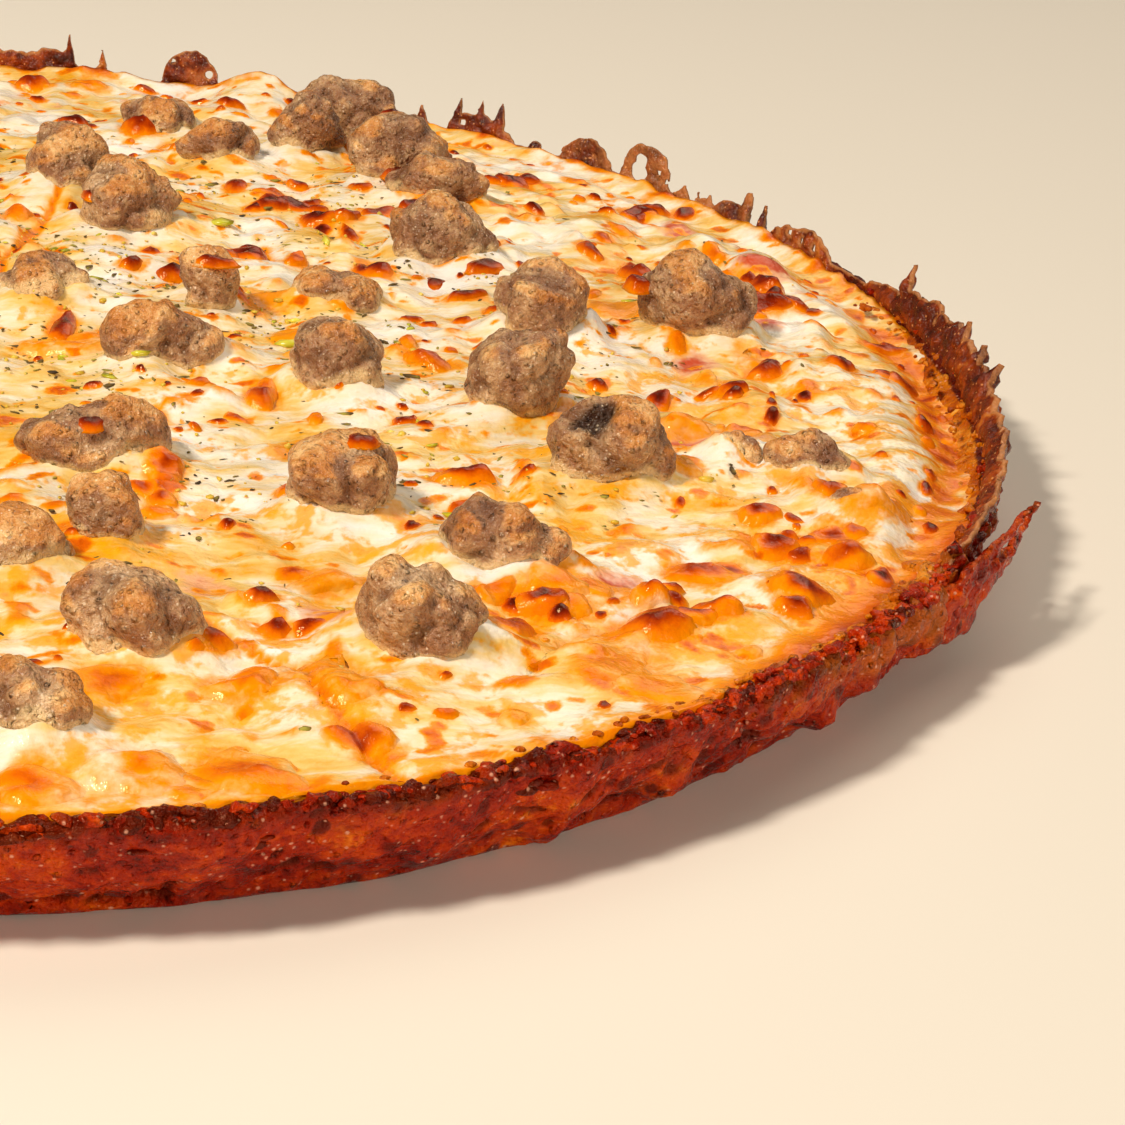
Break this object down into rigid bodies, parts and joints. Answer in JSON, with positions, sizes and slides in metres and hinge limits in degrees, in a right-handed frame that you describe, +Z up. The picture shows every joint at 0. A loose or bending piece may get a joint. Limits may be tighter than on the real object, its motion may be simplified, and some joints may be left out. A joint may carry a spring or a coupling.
{
  "type": "pan pizza",
  "caption": "Round pan pizza, uncut: a browned crust with a raised uneven rim, a layer of melted cheese that fills it, and chunks of sausage half sunk in the cheese.",
  "frame": {"origin": "middle of the pizza on its flat underside", "axes": "+Z up through the middle of the pizza, +X to the right and +Y to the back as it is looked at"},
  "size_m": [0.305, 0.305, 0.0259],
  "materials": {
    "crust": "baked dough and caramelised cheese, dark red brown, rough with a thin shine of fat",
    "cheese": "melted mozzarella, white to pale yellow, smooth and moist, with browned blisters",
    "sausage": "cooked crumbled sausage, grey brown, grainy, with a toasted top"
  },
  "bodies": {
    "root": {"crust": "crust", "cheese": "cheese", "sausage_01": "sausage", "sausage_02": "sausage", "sausage_03": "sausage", "sausage_04": "sausage", "sausage_05": "sausage", "sausage_06": "sausage", "sausage_07": "sausage", "sausage_08": "sausage", "sausage_09": "sausage", "sausage_10": "sausage", "sausage_11": "sausage", "sausage_12": "sausage", "sausage_13": "sausage", "sausage_14": "sausage", "sausage_15": "sausage", "sausage_16": "sausage", "sausage_17": "sausage", "sausage_18": "sausage", "sausage_19": "sausage", "sausage_20": "sausage", "sausage_21": "sausage", "sausage_22": "sausage", "sausage_23": "sausage", "sausage_24": "sausage", "sausage_25": "sausage", "sausage_26": "sausage", "sausage_27": "sausage", "sausage_28": "sausage", "sausage_29": "sausage", "sausage_30": "sausage", "sausage_31": "sausage", "sausage_32": "sausage", "sausage_33": "sausage", "sausage_34": "sausage", "sausage_35": "sausage", "sausage_36": "sausage", "sausage_37": "sausage", "sausage_38": "sausage", "sausage_39": "sausage", "sausage_40": "sausage", "sausage_41": "sausage", "sausage_42": "sausage", "sausage_43": "sausage", "sausage_44": "sausage", "sausage_45": "sausage", "sausage_46": "sausage", "sausage_47": "sausage", "sausage_48": "sausage"}
  },
  "joints": []
}
